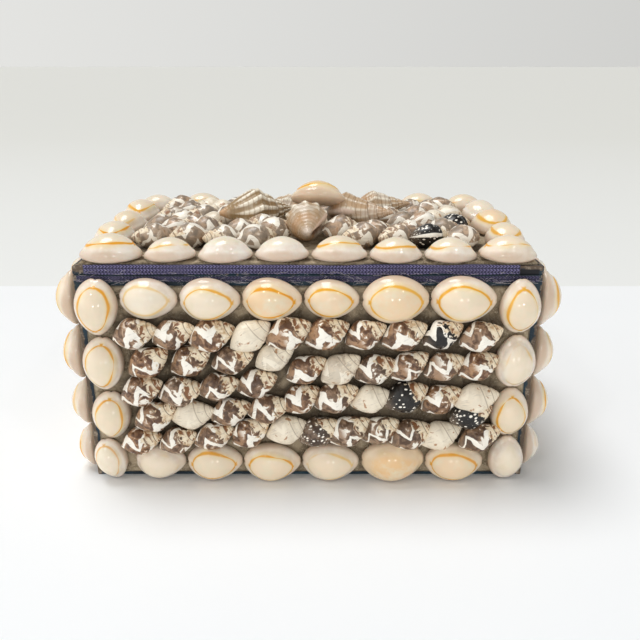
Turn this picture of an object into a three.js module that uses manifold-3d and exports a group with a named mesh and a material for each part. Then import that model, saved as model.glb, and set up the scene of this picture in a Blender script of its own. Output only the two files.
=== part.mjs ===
// A keepsake box covered in sea shells, in millimetres, +Z up, standing on its flat underside.
// The box is card covered in dark paper: an open body and a loose flat lid with a ribbon on its front edge.
// Ring cowries border every face, small dove shells fill the panels in courses, and a rosette of
// whelks with one more cowrie on top sits in the middle of the lid. The front faces -Y.
import * as THREE from "three";
import { mergeVertices } from "three/addons/utils/BufferGeometryUtils.js";
import Module from "manifold-3d";

const wasm = await Module();
wasm.setup();

// The box
const BOX_WIDTH = 185;
const BOX_DEPTH = 110;
const BODY_HEIGHT = 91;
const WALL = 3;
const FLOOR = 3;
const LID_THICKNESS = 3.5;

// The layer of putty that the shells are set in, and the ribbons on the two edges that meet
const BED_THICKNESS = 1.2;
const BED_MARGIN = 1.5;
const RIBBON_THICKNESS = 0.8;
const RIBBON_LEFT_END = 4.5;
const RIBBON_RIGHT_END = 9.5;
const BODY_RIBBON_HEIGHT = 3;

// Clearances
const TOUCH_GAP = 0.3;
const TIP_GAP = 0.35;

// A ring cowrie: the usual length, its width and height as shares of its own length, and how far in from
// an edge its middle sits
const COWRIE_LENGTH = 24;
const COWRIE_WIDTH = 0.69;
const COWRIE_HEIGHT = 0.48;
const COWRIE_INSET = 9;

// A dove shell: its length, its width as a share of that, how flat it is, and how deep it sits in the putty
const DOVE_LENGTH = 17.2;
const DOVE_WIDTH = 0.66;
const DOVE_FLATTEN = 0.9;
const DOVE_SINK = 0.35;

// A whelk: the usual length
const WHELK_LENGTH = 32;

// Materials
const finish = (color, roughness) => new THREE.MeshStandardMaterial({ color, roughness, metalness: 0 });
const PAPER = finish(0x1e3340, 0.8);
const RIBBON = finish(0x453f72, 0.9);
const COWRIE = finish(0xf0e4d0, 0.2);
const DOVE = finish(0xb09a82, 0.35);
const WHELK = finish(0xc9b199, 0.5);

// A repeatable number from 0 to 1 for a whole number and a purpose, so that shells differ a little
const share = (index, purpose) => {
  const turned = Math.sin(index * 12.9898 + purpose * 78.233) * 43758.5453;
  return turned - Math.floor(turned);
};

// A closed skin over rings of points, each ring counter-clockwise seen from the end, closed at both tips
function skin(startTip, rings, endTip) {
  const sides = rings[0].length;
  const points = [startTip, ...rings.flat(), endTip];
  const faces = [];
  const at = (ring, side) => 1 + ring * sides + (side % sides);
  for (let side = 0; side < sides; side++) {
    faces.push(0, at(0, side + 1), at(0, side));
    for (let ring = 0; ring + 1 < rings.length; ring++) {
      faces.push(at(ring, side), at(ring, side + 1), at(ring + 1, side + 1));
      faces.push(at(ring, side), at(ring + 1, side + 1), at(ring + 1, side));
    }
    faces.push(points.length - 1, at(rings.length - 1, side), at(rings.length - 1, side + 1));
  }
  const geometry = new THREE.BufferGeometry().setFromPoints(points);
  geometry.setIndex(faces);
  return geometry;
}

// A cowrie lies along X with its base on Z = 0. Its outline is an egg, widest behind the middle, its margin
// bulges out at about a third of its height, its back is a smooth dome and its base lifts towards both tips.
const BASE_LIFT = 0.06;
function cowrie(length, stations, domePoints, basePoints) {
  const halfLength = length / 2;
  const rings = stations.map((s) => {
    const outline = Math.pow(1 - s * s, 0.56) * (1 - 0.1 * s);
    const halfWidth = (length * COWRIE_WIDTH * outline) / 2;
    const height = length * COWRIE_HEIGHT * Math.pow(1 - s * s, 0.5) * (1 - 0.08 * s);
    const margin = 0.3 * height;
    const ring = [];
    for (let k = 0; k < domePoints; k++) {
      const angle = (Math.PI * k) / (domePoints - 1);
      const rise = (height - margin) * Math.pow(Math.sin(angle), 0.9);
      ring.push(new THREE.Vector3(halfLength * s, halfWidth * Math.cos(angle), margin + rise));
    }
    const lift = BASE_LIFT * length * s * s;
    for (const across of basePoints) {
      ring.push(new THREE.Vector3(halfLength * s, across * halfWidth, lift));
    }
    return ring;
  });
  const tipHeight = 0.12 * length * COWRIE_HEIGHT;
  return skin(
    new THREE.Vector3(-halfLength, 0, tipHeight),
    rings,
    new THREE.Vector3(halfLength, 0, tipHeight),
  );
}
const fineCowrie = (length) => cowrie(length, [-0.84, -0.36, 0.3, 0.82], 5, [-0.6, 0.6]);
const plainCowrie = (length) => cowrie(length, [-0.76, -0.05, 0.74], 4, [0]);

// A shell that lies on its side touches down under its widest whorl, so its axis drops towards both tips.
// This is the height of the axis, for a ring of a given share of the widest radius.
const TIP_AXIS = 0.3;
const axisHeight = (radius, share) => radius * (TIP_AXIS + (1 - TIP_AXIS) * share);

// Rings of points round a lying shell's axis, from pairs of place along it and share of the widest radius
function lyingShell(length, radius, flatten, sides, profile, rib) {
  const rings = profile.map(([along, share]) =>
    Array.from({ length: sides }, (_, k) => {
      const angle = -Math.PI / 2 + (2 * Math.PI * k) / sides;
      const across = radius * share * (k % 2 ? 1 : 1 - rib);
      const height = axisHeight(radius, share) + across * Math.sin(angle);
      return new THREE.Vector3(along * length, across * Math.cos(angle), flatten * height);
    }),
  );
  const tipHeight = flatten * axisHeight(radius, 0);
  return skin(
    new THREE.Vector3(-length / 2, 0, tipHeight),
    rings,
    new THREE.Vector3(length / 2, 0, tipHeight),
  );
}

// A dove shell lies along X, its spire towards +X: a swollen body whorl, a step at the suture, a short cone
const SPIRED = [
  [-0.36, 0.56],
  [0, 1],
  [0.24, 0.74],
];
const BLUNT = [
  [-0.3, 0.66],
  [0.1, 1],
];
const doveOf = (profile, sides) => (length) =>
  lyingShell(length, (length * DOVE_WIDTH) / 2, DOVE_FLATTEN, sides, profile, 0);
const fineDove = doveOf(SPIRED, 5);
const plainDove = doveOf(BLUNT, 4);

// A whelk lies the same way: a canal, a body whorl and a stepped cone of two whorls, with ribs at every
// second point of a ring
const WHELK_PROFILE = [
  [-0.34, 0.36],
  [-0.12, 0.86],
  [0.05, 1],
  [0.13, 0.74],
  [0.24, 0.62],
  [0.3, 0.42],
  [0.4, 0.28],
];
const WHELK_SIDES = 8;
const WHELK_RIB = 0.08;
const whelk = (length, width) =>
  lyingShell(length, (length * width) / 2, 1, WHELK_SIDES, WHELK_PROFILE, WHELK_RIB);

// Solids, for joining and cutting
function solid(geometry) {
  const plain = geometry.clone();
  plain.deleteAttribute("normal");
  plain.deleteAttribute("uv");
  const merged = mergeVertices(plain, 1e-4);
  return new wasm.Manifold(
    new wasm.Mesh({
      numProp: 3,
      vertProperties: new Float32Array(merged.attributes.position.array),
      triVerts: new Uint32Array(merged.index.array),
    }),
  );
}
function geometryOf(manifold) {
  const mesh = manifold.getMesh();
  const geometry = new THREE.BufferGeometry();
  geometry.setAttribute("position", new THREE.BufferAttribute(mesh.vertProperties, 3));
  geometry.setIndex(new THREE.BufferAttribute(mesh.triVerts, 1));
  return geometry;
}
const joined = (solids) => solids.reduce((sum, next) => sum.add(next));
const slab = (lowX, highX, lowY, highY, lowZ, highZ) =>
  new THREE.BoxGeometry(highX - lowX, highY - lowY, highZ - lowZ).translate(
    (lowX + highX) / 2,
    (lowY + highY) / 2,
    (lowZ + highZ) / 2,
  );

// A face of the box: u runs right and v up as seen from outside, and shells stand out along the third axis
function face(origin, right, up, width, height) {
  const out = new THREE.Vector3().crossVectors(right, up);
  const frame = new THREE.Matrix4().makeBasis(right, up, out).setPosition(origin);
  return { frame, width, height };
}
const X = new THREE.Vector3(1, 0, 0);
const Y = new THREE.Vector3(0, 1, 0);
const Z = new THREE.Vector3(0, 0, 1);
const halfWidth = BOX_WIDTH / 2;
const halfDepth = BOX_DEPTH / 2;
const midBody = BODY_HEIGHT / 2;
const lidTop = BODY_HEIGHT + LID_THICKNESS;
const FACES = {
  front: face(new THREE.Vector3(0, -halfDepth, midBody), X, Z, BOX_WIDTH, BODY_HEIGHT),
  back: face(new THREE.Vector3(0, halfDepth, midBody), X.clone().negate(), Z, BOX_WIDTH, BODY_HEIGHT),
  left: face(new THREE.Vector3(-halfWidth, 0, midBody), Y.clone().negate(), Z, BOX_DEPTH, BODY_HEIGHT),
  right: face(new THREE.Vector3(halfWidth, 0, midBody), Y, Z, BOX_DEPTH, BODY_HEIGHT),
  lid: face(new THREE.Vector3(0, 0, lidTop), X, Y, BOX_WIDTH, BOX_DEPTH),
};

// Sets a shell on a face at (u, v), turned by an angle in degrees, its base a height above the face
function set(geometry, onFace, { u, v, turn, above }) {
  const place = new THREE.Matrix4()
    .makeTranslation(u, v, above)
    .multiply(new THREE.Matrix4().makeRotationZ(THREE.MathUtils.degToRad(turn)));
  return geometry.clone().applyMatrix4(onFace.frame.clone().multiply(place));
}

// Cowries end to end along a line of a face: as many as fit, with their relative lengths in turn,
// leaning and shifted sideways a little where that is given
function cowrieRun({ from, to, sizes, lean = [0], shift = [0] }) {
  const span = Math.hypot(to[0] - from[0], to[1] - from[1]);
  const heading = Math.atan2(to[1] - from[1], to[0] - from[0]);
  const count = Math.max(1, Math.round(span / COWRIE_LENGTH));
  const relative = Array.from({ length: count }, (_, i) => sizes[i % sizes.length]);
  const scale = span / relative.reduce((sum, size) => sum + size, 0);
  let start = 0;
  return relative.map((size, i) => {
    const length = size * scale;
    const middle = start + length / 2;
    start += length;
    const aside = shift[i % shift.length];
    return {
      length: length - TIP_GAP,
      u: from[0] + middle * Math.cos(heading) - aside * Math.sin(heading),
      v: from[1] + middle * Math.sin(heading) + aside * Math.cos(heading),
      turn: THREE.MathUtils.radToDeg(heading) + lean[i % lean.length],
    };
  });
}

// The border of a body face: a column of upright cowries at each side, with a row between them above and below
const FRONT_BORDER = {
  left: { sizes: [1, 0.985, 0.94, 0.8], lean: [-4, -4, -4, 14], shift: [0, 0.5, 1.2, -0.8] },
  right: { sizes: [0.96, 0.97, 0.925, 0.865], lean: [182, 180, 180, 180], shift: [0, 0, 0, 0.4] },
  top: { sizes: [0.98, 1.03, 1.01, 0.94, 1.13, 1.11] },
  bottom: { sizes: [0.935, 1.02, 1.055, 1.055, 1.16, 1.065] },
};
const HIDDEN_BORDER = {
  left: { sizes: [1, 0.94, 0.97, 0.83] },
  right: { sizes: [0.975, 1, 0.9, 0.86], lean: [180] },
  top: { sizes: [1.04, 0.98, 1.09] },
  bottom: { sizes: [1.02, 1.08, 1.04] },
};
function borderOf({ width, height }, { left, right, top, bottom }) {
  const column = width / 2 - COWRIE_INSET;
  const betweenColumns = width / 2 - 2 * COWRIE_INSET;
  const rowRise = height / 2 - COWRIE_INSET;
  const topEnd = height / 2 - TOUCH_GAP;
  return {
    left: cowrieRun({ from: [-column, topEnd], to: [-column, -topEnd], ...left }),
    right: cowrieRun({ from: [column, topEnd], to: [column, -topEnd], ...right }),
    top: cowrieRun({ from: [-betweenColumns, rowRise], to: [betweenColumns, rowRise], ...top }),
    bottom: cowrieRun({ from: [-betweenColumns, -rowRise], to: [betweenColumns, -rowRise], ...bottom }),
  };
}

// The border of the lid: a full row along the front, another along the back, and short columns between
const LID_BORDER = {
  front: { sizes: [1.115, 0.945, 0.99, 0.98, 1.015, 0.955, 0.95, 1.04] },
  left: { sizes: [1.05, 0.98, 1.02], lean: [6, -8, 4] },
  right: { sizes: [1.02, 1.06, 0.97], lean: [176, 186, 180] },
  back: { sizes: [1, 1.05, 0.97, 1.03, 0.95, 0.99, 1.06, 0.98], lean: [180] },
};
function lidBorder({ width, height }) {
  const column = width / 2 - COWRIE_INSET;
  const row = height / 2 - COWRIE_INSET;
  const end = width / 2 - BED_MARGIN;
  const columnEnd = height / 2 - 2 * COWRIE_INSET;
  return {
    front: cowrieRun({ from: [-end, -row], to: [end, -row], ...LID_BORDER.front }),
    left: cowrieRun({ from: [-column, columnEnd], to: [-column, -columnEnd], ...LID_BORDER.left }),
    right: cowrieRun({ from: [column, columnEnd], to: [column, -columnEnd], ...LID_BORDER.right }),
    back: cowrieRun({ from: [end, row], to: [-end, row], ...LID_BORDER.back }),
  };
}

// Courses of dove shells. A course goes from one point of the panel to another, each point a share of the
// panel's width and height, with a shell at every pitch, a share of a shell's length. Spires point up right.
const FRONT_COURSES = [
  { from: [0.04, 0.89], to: [0.96, 0.89], pitch: 0.885 },
  { from: [0.07, 0.68], to: [0.41, 0.71], pitch: 1 },
  { from: [0.495, 0.63], to: [0.96, 0.64], pitch: 0.8 },
  { from: [0.045, 0.45], to: [0.36, 0.5], pitch: 0.905 },
  { from: [0.48, 0.4], to: [0.96, 0.4], pitch: 0.83 },
  { from: [0.075, 0.25], to: [0.39, 0.31], pitch: 0.915 },
  { from: [0.53, 0.14], to: [0.87, 0.1], pitch: 0.73 },
  { from: [0.95, 0.26], to: [0.98, 0.07], pitch: 0.67 },
  { from: [0.03, 0.04], to: [0.44, 0.13], pitch: 0.895 },
];
const DOVE_TURN = 24;
const DOVE_TURN_SPREAD = 22;
const DOVE_RISE_SPREAD = 0.11;
const DOVE_LENGTH_SPREAD = 0.12;
function doveCourses(courses, panelWidth, panelHeight, seed) {
  let index = seed;
  return courses.flatMap(({ from, to, pitch }) => {
    const start = [(from[0] - 0.5) * panelWidth, (from[1] - 0.5) * panelHeight];
    const end = [(to[0] - 0.5) * panelWidth, (to[1] - 0.5) * panelHeight];
    const run = Math.hypot(end[0] - start[0], end[1] - start[1]);
    const steps = Math.max(1, Math.round(run / (pitch * DOVE_LENGTH)));
    return Array.from({ length: steps + 1 }, (_, i) => {
      index += 1;
      const rise = DOVE_RISE_SPREAD * (share(index, 1) - 0.5) * DOVE_LENGTH;
      return {
        u: start[0] + ((end[0] - start[0]) * i) / steps,
        v: start[1] + ((end[1] - start[1]) * i) / steps + rise,
        turn: DOVE_TURN + DOVE_TURN_SPREAD * (share(index, 2) - 0.5),
        length: DOVE_LENGTH * (1 + DOVE_LENGTH_SPREAD * (share(index, 3) - 0.5)),
      };
    });
  });
}

// Plain straight courses for the other panels, each second one starting half a pitch in, with every shell
// whole inside the panel and clear of the next
const PLAIN_PITCH = 1.02;
const PLAIN_RISE = 0.74;
function plainCourses(width, height) {
  const foot = (0.39 * DOVE_LENGTH) / height;
  const end = (0.54 * DOVE_LENGTH) / width;
  const gaps = Math.floor((height * (1 - 2 * foot)) / (PLAIN_RISE * DOVE_LENGTH));
  const steps = Math.floor((width * (1 - 2 * end)) / (PLAIN_PITCH * DOVE_LENGTH));
  const step = (1 - 2 * end) / steps;
  return Array.from({ length: gaps + 1 }, (_, i) => {
    const inset = end + (i % 2 ? step / 2 : 0);
    const rise = foot + (i * (1 - 2 * foot)) / gaps;
    return { from: [inset, rise], to: [1 - inset, rise], pitch: (step * width) / DOVE_LENGTH };
  });
}

// The whelk rosette: where each shell's middle is from the middle of the lid and how long it is, as shares
// of the usual whelk's length, which way its spire points, and its width as a share of its own length
const WHELKS = {
  whelk_left: { right: -0.735, back: 0.03, turn: 16, size: 1.06, width: 0.5 },
  whelk_front: { right: -0.03, back: -0.625, turn: 91, size: 0.875, width: 0.62 },
  whelk_right: { right: 0.67, back: -0.08, turn: -19, size: 1, width: 0.5 },
  whelk_back_right: { right: 1.06, back: 0.69, turn: 2, size: 0.94, width: 0.5 },
  whelk_back_left: { right: -0.375, back: 0.655, turn: 152, size: 0.94, width: 0.5 },
};

// The cowrie across the middle of the whelks, placed in the same way, its base up on their backs
const TOP_COWRIE = { right: 0.113, back: -0.19, above: 0.453, turn: -4, size: 0.78 };
const inRosette = ({ right, back, size, turn }) => ({
  u: right * WHELK_LENGTH,
  v: back * WHELK_LENGTH,
  turn,
  length: size * WHELK_LENGTH,
});

// The room that a cowrie takes on a face, with the touching gap all round it
const roomOf = (shape, onFace, place, height) =>
  solid(set(shape(place.length + 2 * TOUCH_GAP), onFace, { ...place, above: height }));

// A putty bed with its dove shells, cut clear of the cowries round it
function doveNode(onFace, bed, shape, doves, rooms) {
  const shells = joined(
    doves.map((place) => solid(set(shape(place.length), onFace, { ...place, above: BED_THICKNESS - DOVE_SINK }))),
  );
  const cut = rooms.reduce((rest, room) => rest.subtract(room), shells);
  return joined([solid(bed.clone().applyMatrix4(onFace.frame)), cut]);
}

// A putty strip with its cowries set a little way into it
const COWRIE_SINK = 0.4;
function cowrieStripNode(onFace, strips, cowries) {
  const beds = strips.map((strip) => solid(strip.clone().applyMatrix4(onFace.frame)));
  const shells = cowries.map((place) =>
    solid(set(plainCowrie(place.length), onFace, { ...place, above: BED_THICKNESS - COWRIE_SINK })),
  );
  return joined([...beds, ...shells]);
}

// The group
const box = new THREE.Group();
box.name = "shell_box";
function add(name, geometry, material) {
  const mesh = new THREE.Mesh(geometry, material);
  mesh.name = name;
  box.add(mesh);
}

// The body: a floor and four walls, open at the top
const outside = solid(slab(-halfWidth, halfWidth, -halfDepth, halfDepth, 0, BODY_HEIGHT));
const inside = solid(
  slab(WALL - halfWidth, halfWidth - WALL, WALL - halfDepth, halfDepth - WALL, FLOOR, BODY_HEIGHT + 1),
);
add("box_body", geometryOf(outside.subtract(inside)), PAPER);

// The lid board, resting on the rim
add("lid_board", slab(-halfWidth, halfWidth, -halfDepth, halfDepth, BODY_HEIGHT, lidTop), PAPER);

// The ribbon round the lid's front edge, and the one under it on the body
const ribbonLeft = RIBBON_LEFT_END - halfWidth;
const ribbonRight = halfWidth - RIBBON_RIGHT_END;
const ribbonFront = -halfDepth - RIBBON_THICKNESS;
add("lid_ribbon", slab(ribbonLeft, ribbonRight, ribbonFront, -halfDepth, BODY_HEIGHT, lidTop), RIBBON);
add(
  "body_ribbon",
  slab(
    BED_MARGIN - halfWidth,
    halfWidth - BED_MARGIN,
    ribbonFront,
    -halfDepth,
    BODY_HEIGHT - BODY_RIBBON_HEIGHT,
    BODY_HEIGHT - TOUCH_GAP,
  ),
  RIBBON,
);

// The front: every border cowrie is its own piece, and the dove shells stand in one bed
const above = BED_THICKNESS + TOUCH_GAP;
const frontBorder = borderOf(FACES.front, FRONT_BORDER);
for (const [side, run] of Object.entries(frontBorder)) {
  run.forEach((place, i) =>
    add(`front_${side}_cowrie_${i + 1}`, set(fineCowrie(place.length), FACES.front, { ...place, above }), COWRIE),
  );
}
const bedHalf = halfWidth - BED_MARGIN;
const bedTop = midBody - BODY_RIBBON_HEIGHT - TOUCH_GAP;
const panelWidth = BOX_WIDTH - 4 * COWRIE_INSET;
const panelHeight = BODY_HEIGHT - 4 * COWRIE_INSET;
add(
  "front_dove_panel",
  geometryOf(
    doveNode(
      FACES.front,
      slab(-bedHalf, bedHalf, TOUCH_GAP - midBody, bedTop, 0, BED_THICKNESS),
      fineDove,
      doveCourses(FRONT_COURSES, panelWidth, panelHeight, 0),
      Object.values(frontBorder).flat().map((place) => roomOf(fineCowrie, FACES.front, place, BED_THICKNESS)),
    ),
  ),
  DOVE,
);

// The back and the two ends: one strip of border cowries and one bed of dove shells each
["back", "left", "right"].forEach((name, order) => {
  const onFace = FACES[name];
  const border = Object.values(borderOf(onFace, HIDDEN_BORDER)).flat();
  const outerU = onFace.width / 2 - BED_MARGIN;
  const outerV = onFace.height / 2 - BED_MARGIN;
  const innerU = onFace.width / 2 - 2 * COWRIE_INSET;
  const innerV = onFace.height / 2 - 2 * COWRIE_INSET;
  const strips = [
    slab(-outerU, outerU, innerV, outerV, 0, BED_THICKNESS),
    slab(-outerU, outerU, -outerV, -innerV, 0, BED_THICKNESS),
    slab(-outerU, -innerU, -outerV, outerV, 0, BED_THICKNESS),
    slab(innerU, outerU, -outerV, outerV, 0, BED_THICKNESS),
  ];
  add(`${name}_cowrie_border`, geometryOf(cowrieStripNode(onFace, strips, border)), COWRIE);
  const bedU = innerU - TOUCH_GAP;
  const bedV = innerV - TOUCH_GAP;
  const courses = plainCourses(2 * innerU, 2 * innerV);
  add(
    `${name}_dove_panel`,
    geometryOf(
      doveNode(
        onFace,
        slab(-bedU, bedU, -bedV, bedV, 0, BED_THICKNESS),
        plainDove,
        doveCourses(courses, 2 * innerU, 2 * innerV, 100 * (order + 1)),
        [],
      ),
    ),
    DOVE,
  );
});

// The lid: its front row is separate cowries, the other three sides are one strip
const lidRuns = lidBorder(FACES.lid);
lidRuns.front.forEach((place, i) =>
  add(`lid_front_cowrie_${i + 1}`, set(fineCowrie(place.length), FACES.lid, { ...place, above }), COWRIE),
);
const stripInnerU = halfWidth - 2 * COWRIE_INSET;
const stripInnerV = halfDepth - 2 * COWRIE_INSET;
const stripOuterV = halfDepth - BED_MARGIN;
const restCowries = [...lidRuns.left, ...lidRuns.right, ...lidRuns.back];
add(
  "lid_cowrie_border",
  geometryOf(
    cowrieStripNode(
      FACES.lid,
      [
        slab(-bedHalf, bedHalf, stripInnerV, stripOuterV, 0, BED_THICKNESS),
        slab(-bedHalf, -stripInnerU, -stripInnerV, stripOuterV, 0, BED_THICKNESS),
        slab(stripInnerU, bedHalf, -stripInnerV, stripOuterV, 0, BED_THICKNESS),
      ],
      restCowries,
    ),
  ),
  COWRIE,
);

// The whelks lie on the lid's bed with the top cowrie across them, and the dove shells keep clear of their feet
const feet = Object.entries(WHELKS).map(([name, row]) => {
  const place = inRosette(row);
  add(name, set(whelk(place.length, row.width), FACES.lid, { ...place, above }), WHELK);
  return { ...place, halfWidth: (place.length * row.width) / 2 };
});
const topCowrie = inRosette(TOP_COWRIE);
add(
  "top_cowrie",
  set(fineCowrie(topCowrie.length), FACES.lid, { ...topCowrie, above: TOP_COWRIE.above * WHELK_LENGTH }),
  COWRIE,
);
const clearOfWhelk = 0.32 * DOVE_LENGTH;
const underWhelk = ({ u, v }) =>
  feet.some((foot) => {
    const angle = THREE.MathUtils.degToRad(foot.turn);
    const along = (u - foot.u) * Math.cos(angle) + (v - foot.v) * Math.sin(angle);
    const aside = (v - foot.v) * Math.cos(angle) - (u - foot.u) * Math.sin(angle);
    return Math.hypot(along / (foot.length / 2 + clearOfWhelk), aside / (foot.halfWidth + clearOfWhelk)) < 1;
  });
const lidPanel = [2 * stripInnerU, 2 * stripInnerV];
const LID_SEED = 400;
const lidDoves = doveCourses(plainCourses(...lidPanel), ...lidPanel, LID_SEED)
  .filter((place) => !underWhelk(place))
  .map((place, i) => ({ ...place, turn: place.turn + (share(i, 5) < 0.5 ? 180 : 0) }));
add(
  "lid_dove_panel",
  geometryOf(
    doveNode(
      FACES.lid,
      lidBed(),
      plainDove,
      lidDoves,
      [],
    ),
  ),
  DOVE,
);

// The lid's bed runs from the front edge to the back strip, and between the two side strips
function lidBed() {
  const inner = slab(
    TOUCH_GAP - stripInnerU,
    stripInnerU - TOUCH_GAP,
    -stripOuterV,
    stripInnerV - TOUCH_GAP,
    0,
    BED_THICKNESS,
  );
  const front = slab(-bedHalf, bedHalf, -stripOuterV, -stripInnerV - TOUCH_GAP, 0, BED_THICKNESS);
  return geometryOf(joined([solid(inner), solid(front)]));
}

export default box;
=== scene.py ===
import math

import bpy
import numpy as np
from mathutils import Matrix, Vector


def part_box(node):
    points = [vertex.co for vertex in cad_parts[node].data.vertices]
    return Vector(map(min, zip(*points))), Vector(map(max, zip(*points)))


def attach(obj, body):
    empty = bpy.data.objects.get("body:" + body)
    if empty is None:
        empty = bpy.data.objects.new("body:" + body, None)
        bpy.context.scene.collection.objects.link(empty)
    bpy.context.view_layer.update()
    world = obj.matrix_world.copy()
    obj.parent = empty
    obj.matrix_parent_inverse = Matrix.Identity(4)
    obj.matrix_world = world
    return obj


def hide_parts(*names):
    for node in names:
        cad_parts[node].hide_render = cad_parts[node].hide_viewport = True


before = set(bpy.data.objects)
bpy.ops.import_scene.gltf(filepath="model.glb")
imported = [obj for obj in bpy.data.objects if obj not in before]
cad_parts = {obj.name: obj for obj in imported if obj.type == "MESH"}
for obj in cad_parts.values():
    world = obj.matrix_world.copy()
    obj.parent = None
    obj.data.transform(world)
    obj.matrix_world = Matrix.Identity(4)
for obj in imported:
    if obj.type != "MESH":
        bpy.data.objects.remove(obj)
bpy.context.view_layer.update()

# The camera stands a quarter of a metre in front of the box, above its lid, and looks down at it.
# Its place comes from the box's own edges in the photograph, in millimetres from the underside's middle.
MM = 0.001
CAMERA_RIGHT = 4.7
CAMERA_AWAY = 260.0
CAMERA_HEIGHT = 168.2
CAMERA_DOWN = 20.3
FOCAL_PIXELS = 690.0
IMAGE_PIXELS = 640.0
SENSOR = 36.0
body_low, body_high = (np.array(corner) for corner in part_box("box_body"))
camera_data = bpy.data.cameras.new("camera")
camera_data.sensor_width = SENSOR
camera_data.lens = SENSOR * FOCAL_PIXELS / IMAGE_PIXELS
camera_data.clip_start = 0.01
camera = bpy.data.objects.new("camera", camera_data)
camera.location = (CAMERA_RIGHT * MM, body_low[1] - CAMERA_AWAY * MM, CAMERA_HEIGHT * MM)
camera.rotation_euler = (math.radians(90 - CAMERA_DOWN), 0, 0)
bpy.context.collection.objects.link(camera)
bpy.context.scene.camera = camera
bpy.context.scene.view_settings.view_transform = "Standard"


# The floor is a white board, which ends behind the box on a table of pale grey laminate.
# Both are matt and carry a faint mottle, as a photographer's sweep does. The board is painted darker towards
# the front and the table darker far away, a painted fall-off of the light.
BOARD_BEHIND_FRONT = 274.0
# The board's near part is painted cooler and darker, as painted shade, up to these places along Y, and the
# table is painted darker, as painted shade, over this far, in metres
BOARD_SHADED_BY, BOARD_LIT_BY = -0.26, -0.02
TABLE_SHADE_FADE = 1.2
FLOOR_REACH = 60.0


def linear(code):
    """A colour written as sRGB hex, such as "E8C25A", as linear red, green, blue and an alpha of 1."""
    srgb = np.array([int(code[i : i + 2], 16) for i in (0, 2, 4)]) / 255
    low = srgb / 12.92
    high = ((srgb + 0.055) / 1.055) ** 2.4
    return (*np.where(srgb <= 0.04045, low, high).tolist(), 1.0)


def material_of(name, **inputs):
    """A new material with one Principled shader, whose named sockets get the given plain values."""
    material = bpy.data.materials.new(name)
    material.use_nodes = True
    shader = material.node_tree.nodes["Principled BSDF"]
    for socket, value in inputs.items():
        shader.inputs[socket.replace("_", " ")].default_value = value
    return material, shader


def node(owner, kind, inputs=(), **settings):
    """Adds a shader node with its settings to a material, the world or the tree that a link is in. inputs
    gives sockets, by name or number, a value or a link."""
    tree = owner.id_data if isinstance(owner, bpy.types.NodeSocket) else owner.node_tree
    made = tree.nodes.new("ShaderNode" + kind)
    for name, value in settings.items():
        setattr(made, name, value)
    for socket, value in dict(inputs).items():
        if isinstance(value, bpy.types.NodeSocket):
            tree.links.new(value, made.inputs[socket])
        else:
            made.inputs[socket].default_value = value
    return made.outputs


def plug(shader, socket, value):
    """Links a value to a named socket of a shader or of the world's background."""
    shader.id_data.links.new(value, shader.inputs[socket])


def ramp(value, low, high, start=0.0, end=1.0):
    """A straight ramp from start, where value is low, to end, where it is high."""
    return node(value, "MapRange", {0: value, 1: low, 2: high, 3: start, 4: end})[0]


def blend(share, first, second):
    """first and second mixed by share. Each is a colour's link or its sRGB hex."""
    first, second = (linear(tone) if isinstance(tone, str) else tone for tone in (first, second))
    return node(share, "Mix", {0: share, 6: first, 7: second}, data_type="RGBA")[2]


def noise(where, scale, detail=2.0, seed=None, **inputs):
    """Noise in cycles per unit of where, which differs with a seed if one is given."""
    inputs.update({"Vector": where, "Scale": scale, "Detail": detail})
    if seed is None:
        return node(where, "TexNoise", inputs)[0]
    inputs["W"] = seed
    return node(where, "TexNoise", inputs, noise_dimensions="4D")[0]


board_end = body_low[1] + BOARD_BEHIND_FRONT * MM
floor_mesh = bpy.data.meshes.new("floor")
floor_corners = [(-FLOOR_REACH, -FLOOR_REACH), (FLOOR_REACH, -FLOOR_REACH), (FLOOR_REACH, FLOOR_REACH)]
floor_corners.append((-FLOOR_REACH, FLOOR_REACH))
floor_mesh.from_pydata([(x, y, 0.0) for x, y in floor_corners], [], [(0, 1, 2, 3)])
floor = bpy.data.objects.new("floor", floor_mesh)
bpy.context.collection.objects.link(floor)
board, board_shader = material_of("white_board", Roughness=0.6)
where = node(board, "TexCoord")["Object"]
across = node(board, "SeparateXYZ", {0: where})
behind = ramp(across["Y"], board_end - 0.001, board_end + 0.001)
# Painted shade: the board darkens towards the front, a painted fall-off of the light
front_shade = ramp(across["Y"], BOARD_SHADED_BY, BOARD_LIT_BY)
mottle = noise(where, 9.0)
white = blend(mottle, blend(front_shade, "E7EBF0", "FAFBFC"), "F4F6F8")
# Painted shade: the table darkens with distance, a painted fall-off of the light
far = ramp(across["Y"], board_end, board_end + TABLE_SHADE_FADE)
grey = blend(far, "EDEEEC", "E7E7E2")
plug(board_shader, "Base Color", blend(behind, white, grey))
floor_mesh.materials.append(board)


# The light is a bright white room: a high wide ceiling light, a little behind and to the left, in an even
# glow that is stronger low down, in front and on the left. A soft window stands at the left, and four small
# lamps round the camera give the glossy shells their highlights. Places and sizes are in metres.
CEILING_GLOW = 1.85
CEILING_SPREAD = 32.0
CEILING_PLACE = (-0.45, 0.3, 1.8)
LIGHTS = {
    "left_window": {"place": (-1.3, -0.35, 0.6), "size": 0.7, "watts": 1.4},
    "lamp_high_left": {"place": (-0.75, -0.95, 1.25), "size": 0.09, "watts": 1.6},
    "lamp_high_right": {"place": (0.7, -0.85, 1.15), "size": 0.06, "watts": 0.9},
    "lamp_low_left": {"place": (-0.22, -1.2, 0.3), "size": 0.06, "watts": 0.7},
    "lamp_low_right": {"place": (0.3, -1.2, 0.34), "size": 0.06, "watts": 0.7},
}


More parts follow.
